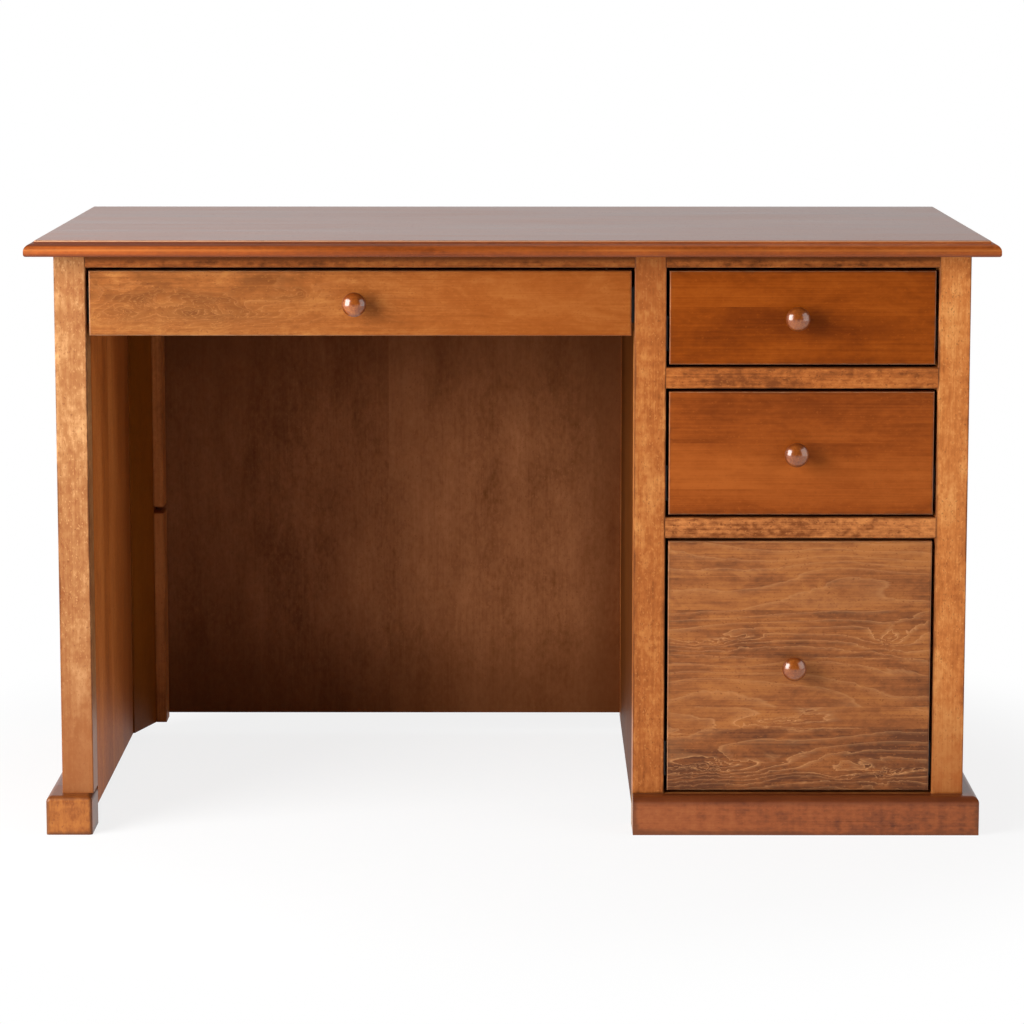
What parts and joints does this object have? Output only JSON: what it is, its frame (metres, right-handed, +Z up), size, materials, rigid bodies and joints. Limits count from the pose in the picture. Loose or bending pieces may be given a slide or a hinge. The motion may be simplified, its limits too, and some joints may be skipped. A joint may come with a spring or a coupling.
{
  "type": "pedestal desk",
  "caption": "Wooden pedestal desk with a moulded top, a panelled end, an open kneehole under a pencil drawer and a drawer pedestal; the knobbed drawers pull out on telescopic slides.",
  "frame": {"origin": "on the floor under the middle of the top", "axes": "+X to the right towards the pedestal, seen from the front; +Y to the back; +Z up. The drawers open towards -Y."},
  "size_m": [1.22, 0.61, 0.762],
  "materials": {
    "top_wood": "brown stain under semi-gloss lacquer",
    "frame_wood": "brown stain under semi-gloss lacquer, fine dark specks",
    "front_wood": "brown stain under semi-gloss lacquer",
    "panel_wood": "brown stain under semi-gloss lacquer",
    "knob_wood": "turned, brown stain under gloss lacquer",
    "box_wood": "clear lacquer on pale wood",
    "plain_wood": "bare wood, hidden",
    "slide_steel": "black zinc plated",
    "screw_steel": "zinc plated"
  },
  "bodies": {
    "desk": {"desk_top": "top_wood", "kneehole_corner_cleats": "frame_wood", "kneehole_corner_filler": "frame_wood", "kneehole_top_rail": "frame_wood", "left_base_board": "frame_wood", "left_bottom_rail": "plain_wood", "left_front_foot": "frame_wood", "left_front_post": "frame_wood", "left_inner_panel": "panel_wood", "left_outer_panel": "panel_wood", "left_rear_post": "frame_wood", "left_top_rail": "plain_wood", "lower_drawer_rail": "frame_wood", "modesty_panel": "panel_wood", "pedestal_back_panel": "panel_wood", "pedestal_bottom_rail": "frame_wood", "pedestal_floor_panel": "plain_wood", "pedestal_foot_blocks": "frame_wood", "pedestal_left_front_post": "frame_wood", "pedestal_left_rear_post": "frame_wood", "pedestal_left_side": "panel_wood", "pedestal_right_front_post": "frame_wood", "pedestal_right_rear_post": "frame_wood", "pedestal_right_side": "panel_wood", "pedestal_top_rail": "frame_wood", "plinth_front": "frame_wood", "plinth_side": "frame_wood", "rear_top_rail": "frame_wood", "slide_cabinet_members": "slide_steel", "slide_packers": "plain_wood", "top_screws": "screw_steel", "upper_drawer_rail": "frame_wood"},
    "pencil_drawer": {"pencil_drawer_back": "box_wood", "pencil_drawer_bottom": "box_wood", "pencil_drawer_front": "front_wood", "pencil_drawer_knob": "knob_wood", "pencil_drawer_sides": "box_wood", "pencil_drawer_slide_members": "slide_steel"},
    "pencil_drawer_carriages": {"pencil_drawer_slide_carriages": "slide_steel"},
    "top_drawer": {"top_drawer_back": "box_wood", "top_drawer_bottom": "box_wood", "top_drawer_front": "front_wood", "top_drawer_knob": "knob_wood", "top_drawer_sides": "box_wood", "top_drawer_slide_members": "slide_steel"},
    "top_drawer_carriages": {"top_drawer_slide_carriages": "slide_steel"},
    "middle_drawer": {"middle_drawer_back": "box_wood", "middle_drawer_bottom": "box_wood", "middle_drawer_front": "front_wood", "middle_drawer_knob": "knob_wood", "middle_drawer_sides": "box_wood", "middle_drawer_slide_members": "slide_steel"},
    "middle_drawer_carriages": {"middle_drawer_slide_carriages": "slide_steel"},
    "file_drawer": {"file_drawer_back": "box_wood", "file_drawer_bottom": "box_wood", "file_drawer_front": "front_wood", "file_drawer_knob": "knob_wood", "file_drawer_sides": "box_wood", "file_drawer_slide_members": "slide_steel"},
    "file_drawer_carriages": {"file_drawer_slide_carriages": "slide_steel"}
  },
  "joints": [
    {"name": "pencil_drawer_slide", "type": "slide", "parent": "desk", "child": "pencil_drawer", "axis": [0, -1, 0], "range_m": [0, 0.46]},
    {"name": "top_drawer_slide", "type": "slide", "parent": "desk", "child": "top_drawer", "axis": [0, -1, 0], "range_m": [0, 0.46]},
    {"name": "middle_drawer_slide", "type": "slide", "parent": "desk", "child": "middle_drawer", "axis": [0, -1, 0], "range_m": [0, 0.46]},
    {"name": "file_drawer_slide", "type": "slide", "parent": "desk", "child": "file_drawer", "axis": [0, -1, 0], "range_m": [0, 0.46]},
    {"name": "pencil_drawer_carriage_slide", "type": "slide", "parent": "desk", "child": "pencil_drawer_carriages", "axis": [0, -1, 0], "range_m": [0, 0.23]},
    {"name": "top_drawer_carriage_slide", "type": "slide", "parent": "desk", "child": "top_drawer_carriages", "axis": [0, -1, 0], "range_m": [0, 0.23]},
    {"name": "middle_drawer_carriage_slide", "type": "slide", "parent": "desk", "child": "middle_drawer_carriages", "axis": [0, -1, 0], "range_m": [0, 0.23]},
    {"name": "file_drawer_carriage_slide", "type": "slide", "parent": "desk", "child": "file_drawer_carriages", "axis": [0, -1, 0], "range_m": [0, 0.23]}
  ],
  "couplings": [
    {"joint": "pencil_drawer_carriage_slide", "follows": "pencil_drawer_slide", "ratio": 0.5},
    {"joint": "top_drawer_carriage_slide", "follows": "top_drawer_slide", "ratio": 0.5},
    {"joint": "middle_drawer_carriage_slide", "follows": "middle_drawer_slide", "ratio": 0.5},
    {"joint": "file_drawer_carriage_slide", "follows": "file_drawer_slide", "ratio": 0.5}
  ]
}
